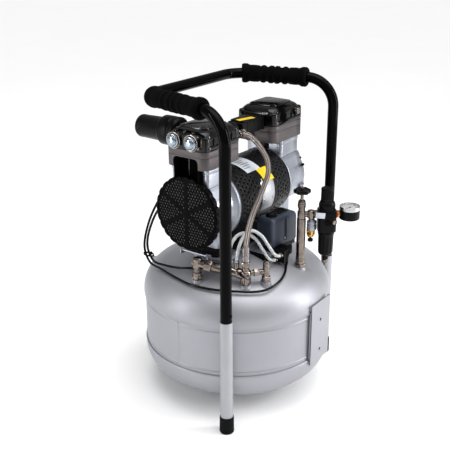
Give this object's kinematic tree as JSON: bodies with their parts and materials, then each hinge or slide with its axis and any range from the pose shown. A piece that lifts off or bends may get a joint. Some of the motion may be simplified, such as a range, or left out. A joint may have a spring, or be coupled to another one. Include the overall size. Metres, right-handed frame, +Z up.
{
  "type": "air compressor",
  "caption": "Portable oil-free air compressor: twin-cylinder electric pump on a low upright tank with tube legs, carrying handle, pressure switch, regulator and gauge.",
  "frame": {"origin": "centre of the footprint box, on the floor under the tank", "axes": "+Z up; X along the pump shaft; the controls face -Y"},
  "size_m": [0.415, 0.4778, 0.6585],
  "materials": {
    "tank_paint": "satin metallic silver paint on sheet steel",
    "leg_paint": "light grey satin paint",
    "foot_rubber": "matt black rubber",
    "handle_paint": "gloss black powder coat on steel tube",
    "grip_foam": "matt black foam",
    "steel": "bare machined steel",
    "cast_aluminium": "bead-blasted aluminium casting",
    "dark_aluminium": "dull brown-grey cast aluminium",
    "head_paint": "cast aluminium painted black",
    "black_plastic": "moulded black plastic",
    "motor_sheet": "perforated sheet steel painted black",
    "nickel": "nickel-plated brass",
    "brass": "turned brass",
    "switch_grey": "slate grey moulded plastic",
    "needle_black": "black painted needle",
    "steel_braid": "woven stainless braid over a rubber hose",
    "clear_plastic": "translucent flexible tubing",
    "cable_black": "black cable sheath"
  },
  "bodies": {
    "frame": {"tank_upper_head": "tank_paint", "tank_lower_head": "tank_paint", "tank_band": "tank_paint", "tank_bracket": "tank_paint", "leg_front": "leg_paint", "leg_right": "leg_paint", "leg_rear": "leg_paint", "rubber_foot_front": "foot_rubber", "rubber_foot_right": "foot_rubber", "rubber_foot_rear": "foot_rubber", "handle_tube": "handle_paint", "foam_grip_left": "grip_foam", "foam_grip_right": "grip_foam", "handle_screw_left": "steel", "handle_screw_right": "steel", "crankcase_left": "cast_aluminium", "crankcase_right": "cast_aluminium", "cylinder_block_left": "dark_aluminium", "cylinder_block_right": "dark_aluminium", "cylinder_head_left": "head_paint", "cylinder_head_right": "head_paint", "fan_grille_left": "black_plastic", "fan_grille_right": "black_plastic", "stator": "steel", "motor_shell_left": "motor_sheet", "motor_shell_right": "motor_sheet", "head_plug_front": "nickel", "head_plug_back": "nickel", "crossover": "black_plastic", "intake_filter": "black_plastic", "pump_bracket": "cast_aluminium", "rubber_mount_left": "foot_rubber", "rubber_mount_right": "foot_rubber", "check_valve": "nickel", "manifold_tee": "nickel", "switch_base": "black_plastic", "switch_cover": "switch_grey", "outlet_valve": "nickel", "relief_valve": "brass", "regulator_body": "black_plastic", "regulator_bowl": "black_plastic", "gauge_case": "black_plastic", "braided_hose": "steel_braid", "clear_tube_front": "clear_plastic", "clear_tube_back": "clear_plastic", "supply_cable": "cable_black", "motor_cable": "cable_black"},
    "rotor": {"crankshaft": "steel", "fan_left": "black_plastic", "fan_right": "black_plastic"},
    "piston_left": {"piston_left": "cast_aluminium"},
    "piston_right": {"piston_right": "cast_aluminium"},
    "valve_stem": {"valve_stem": "brass"},
    "handwheel": {"handwheel": "black_plastic"},
    "regulator_screw": {"regulator_screw": "steel"},
    "regulator_knob": {"regulator_knob": "black_plastic"},
    "bowl_drain": {"bowl_drain": "nickel"},
    "gauge_pointer": {"gauge_pointer": "needle_black"},
    "switch_knob": {"switch_knob": "black_plastic"},
    "relief_pull": {"relief_pull": "black_plastic"}
  },
  "joints": [
    {"name": "rotor_spin", "type": "hinge", "parent": "frame", "child": "rotor", "pos_m": [0.008, 0.00143, 0.427], "axis": [1, 0, 0], "continuous": true},
    {"name": "piston_left_stroke", "type": "slide", "parent": "frame", "child": "piston_left", "axis": [0, 0, 1], "range_m": [-0.005, 0.005]},
    {"name": "piston_right_stroke", "type": "slide", "parent": "frame", "child": "piston_right", "axis": [0, 0, 1], "range_m": [-0.005, 0.005]},
    {"name": "valve_lift", "type": "slide", "parent": "frame", "child": "valve_stem", "axis": [0, 0, 1], "range_m": [0, 0.0045]},
    {"name": "handwheel_turn", "type": "hinge", "parent": "valve_stem", "child": "handwheel", "pos_m": [0.021, -0.14157, 0.4486], "axis": [0, 0, 1], "range_deg": [0, 1080]},
    {"name": "regulator_turn", "type": "hinge", "parent": "frame", "child": "regulator_screw", "pos_m": [0.05039, -0.18202, 0.43], "axis": [0, 0, 1], "range_deg": [-360, 360]},
    {"name": "regulator_knob_lift", "type": "slide", "parent": "regulator_screw", "child": "regulator_knob", "axis": [0, 0, 1], "range_m": [0, 0.003]},
    {"name": "drain_turn", "type": "hinge", "parent": "frame", "child": "bowl_drain", "pos_m": [0.05039, -0.18202, 0.3], "axis": [0, 0, 1], "range_deg": [0, 180]},
    {"name": "gauge_needle", "type": "hinge", "parent": "frame", "child": "gauge_pointer", "pos_m": [0.07684, -0.21843, 0.4133], "axis": [0, 0, 1], "range_deg": [-270, 0]},
    {"name": "switch_turn", "type": "hinge", "parent": "frame", "child": "switch_knob", "pos_m": [-0.00208, -0.08577, 0.3985], "axis": [0, 0, 1], "range_deg": [-90, 0]},
    {"name": "relief_pull_slide", "type": "slide", "parent": "frame", "child": "relief_pull", "axis": [0, 0, -1], "range_m": [0, 0.003], "stiffness_N_per_m": 300, "springref_m": -0.001}
  ],
  "couplings": [
    {"joint": "piston_right_stroke", "follows": "piston_left_stroke", "ratio": -1},
    {"joint": "valve_lift", "follows": "handwheel_turn", "m_per_rad": 0.0002387}
  ]
}
